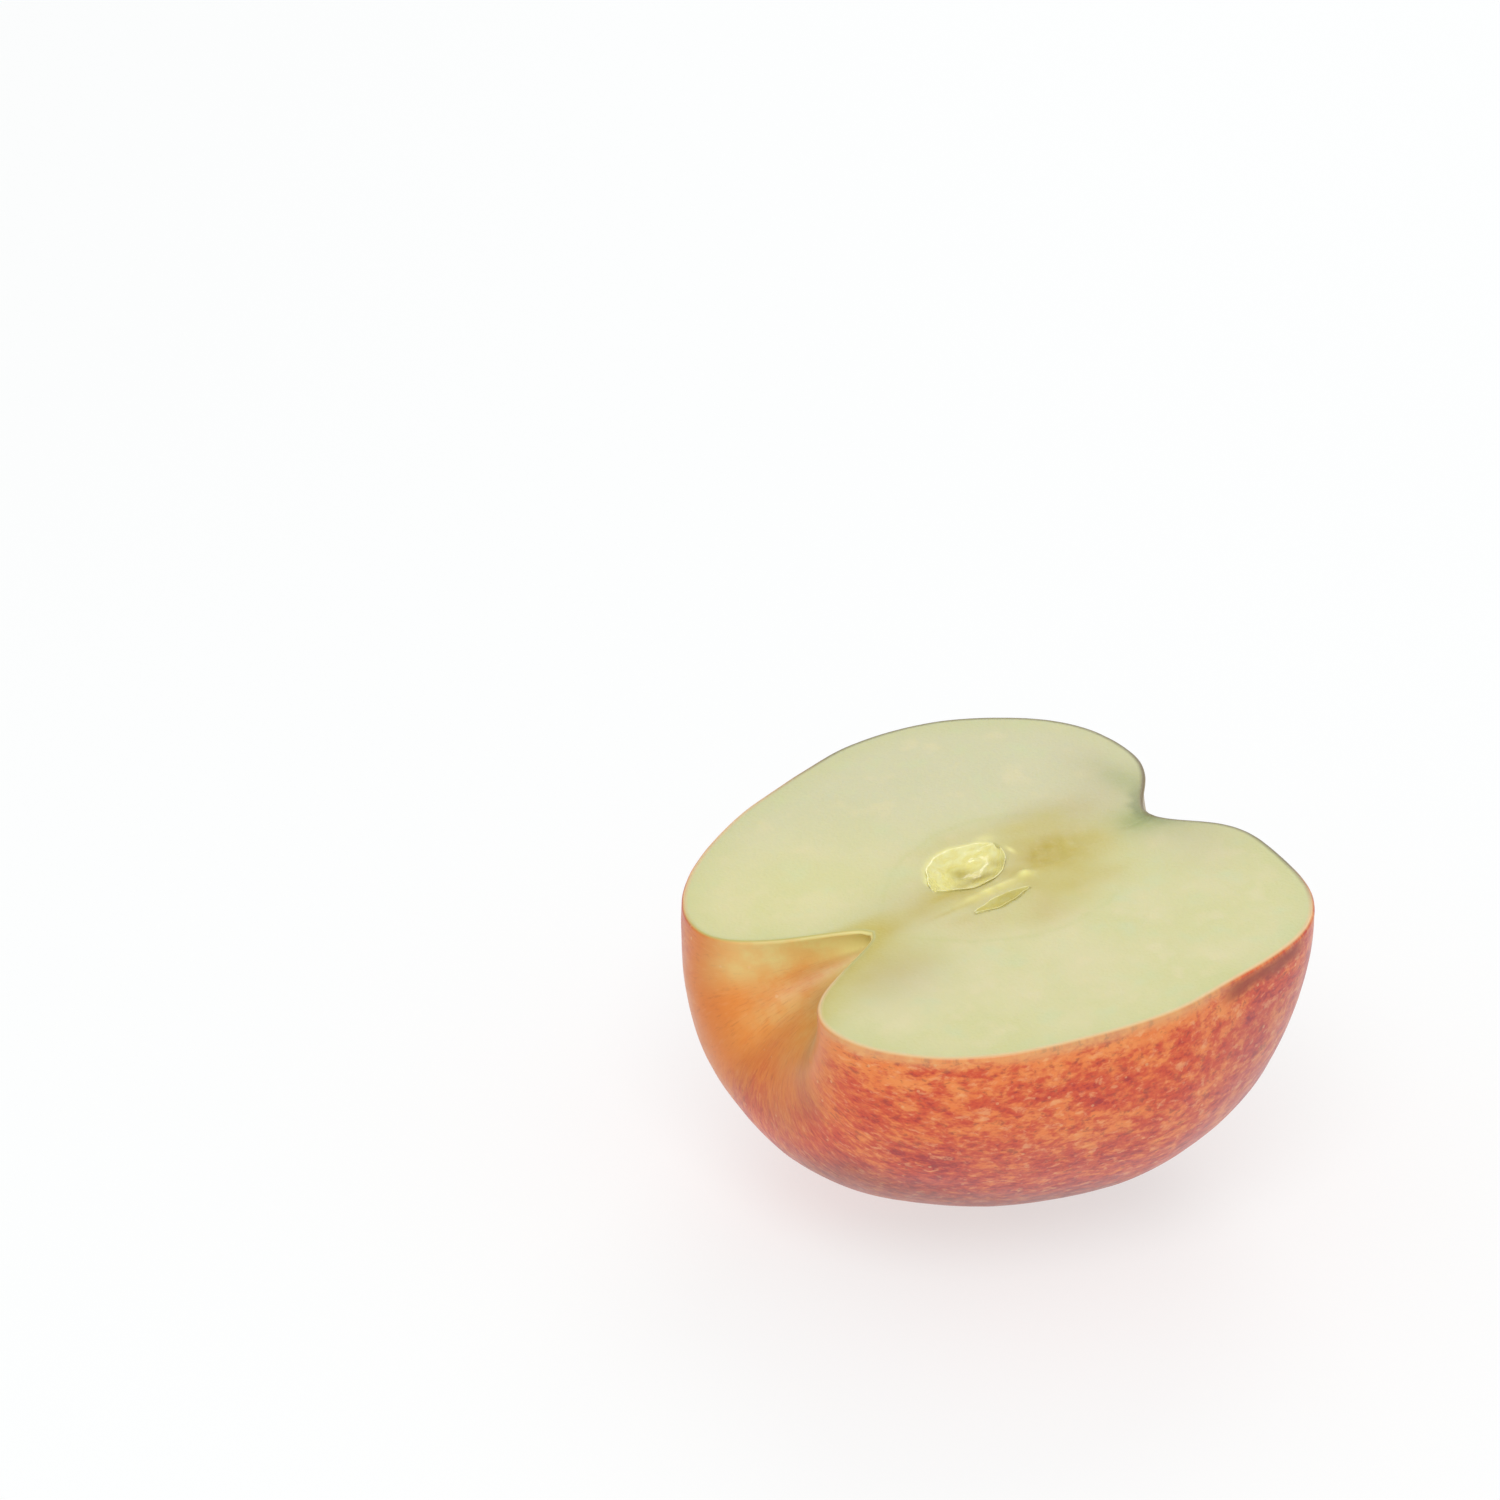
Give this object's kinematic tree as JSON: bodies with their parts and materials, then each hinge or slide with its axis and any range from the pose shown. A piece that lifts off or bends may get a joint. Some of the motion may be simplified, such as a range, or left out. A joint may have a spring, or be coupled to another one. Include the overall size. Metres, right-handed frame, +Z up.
{
  "type": "apple half",
  "caption": "Half of a red and yellow dessert apple cut lengthwise through its core, lying on its skin side with the pale cut face up.",
  "frame": {"origin": "on the surface that the half lies on, under the middle of its bounding box", "axes": "+X along the core from the stem end to the calyx end, level, +Y level across the cut face, +Z up; the cut face looks up and is tipped 4.5 degrees, with the stem end the lower"},
  "size_m": [0.066, 0.0746, 0.0425],
  "materials": {
    "skin": "satin",
    "flesh": "satin",
    "core": "gloss",
    "dried_sepals": "matte"
  },
  "bodies": {
    "root": {"apple_half": "skin"}
  },
  "joints": []
}
